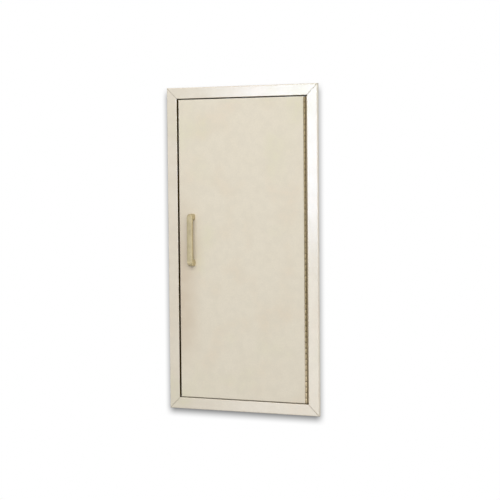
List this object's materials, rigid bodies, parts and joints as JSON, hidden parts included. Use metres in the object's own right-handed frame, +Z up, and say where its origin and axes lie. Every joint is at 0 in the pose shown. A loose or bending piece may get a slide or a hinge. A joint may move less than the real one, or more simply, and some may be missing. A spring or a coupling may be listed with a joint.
{
  "type": "recessed wall cabinet",
  "caption": "Fully recessed steel wall cabinet with a flat mitred trim frame, a flush solid door on a continuous hinge and a C-shaped pull.",
  "frame": {"origin": "on the wall plane, at mid width, on the bottom edge of the trim frame", "axes": "+X to the right seen from the room, +Y into the wall, +Z up"},
  "size_m": [0.381, 0.1677, 0.762],
  "materials": {
    "trim_paint": "semi-gloss warm off-white powder coat",
    "door_paint": "satin warm off-white powder coat",
    "tub_paint": "matt off-white primer",
    "hinge_steel": "satin, warm plated steel",
    "pull_metal": "satin nickel-toned casting",
    "fastener_steel": "zinc plated",
    "catch_zinc": "zinc plated sheet",
    "roller_nylon": "moulded nylon",
    "bumper_rubber": "matt"
  },
  "bodies": {
    "cabinet": {"trim_top_rail": "trim_paint", "trim_bottom_rail": "trim_paint", "trim_left_stile": "trim_paint", "trim_right_stile": "trim_paint", "corner_brace_top_left": "tub_paint", "corner_brace_top_right": "tub_paint", "corner_brace_bottom_left": "tub_paint", "corner_brace_bottom_right": "tub_paint", "tub_wrapper": "tub_paint", "tub_top_panel": "tub_paint", "tub_bottom_panel": "tub_paint", "hinge_packing_strip": "trim_paint", "hinge_frame_leaf": "hinge_steel", "hinge_pin": "hinge_steel", "catch_bracket": "catch_zinc", "catch_upper_roller": "roller_nylon", "catch_lower_roller": "roller_nylon", "catch_axles": "fastener_steel", "door_bumper_upper": "bumper_rubber", "door_bumper_lower": "bumper_rubber"},
    "door": {"door_face_pan": "door_paint", "door_back_panel": "door_paint", "hinge_door_leaf": "hinge_steel", "pull_handle": "pull_metal", "catch_strike": "catch_zinc"}
  },
  "joints": [
    {"name": "door_swing", "type": "hinge", "parent": "cabinet", "child": "door", "pos_m": [0.15875, -0.0079, 0.381], "axis": [0, 0, 1], "range_deg": [0, 170]}
  ]
}
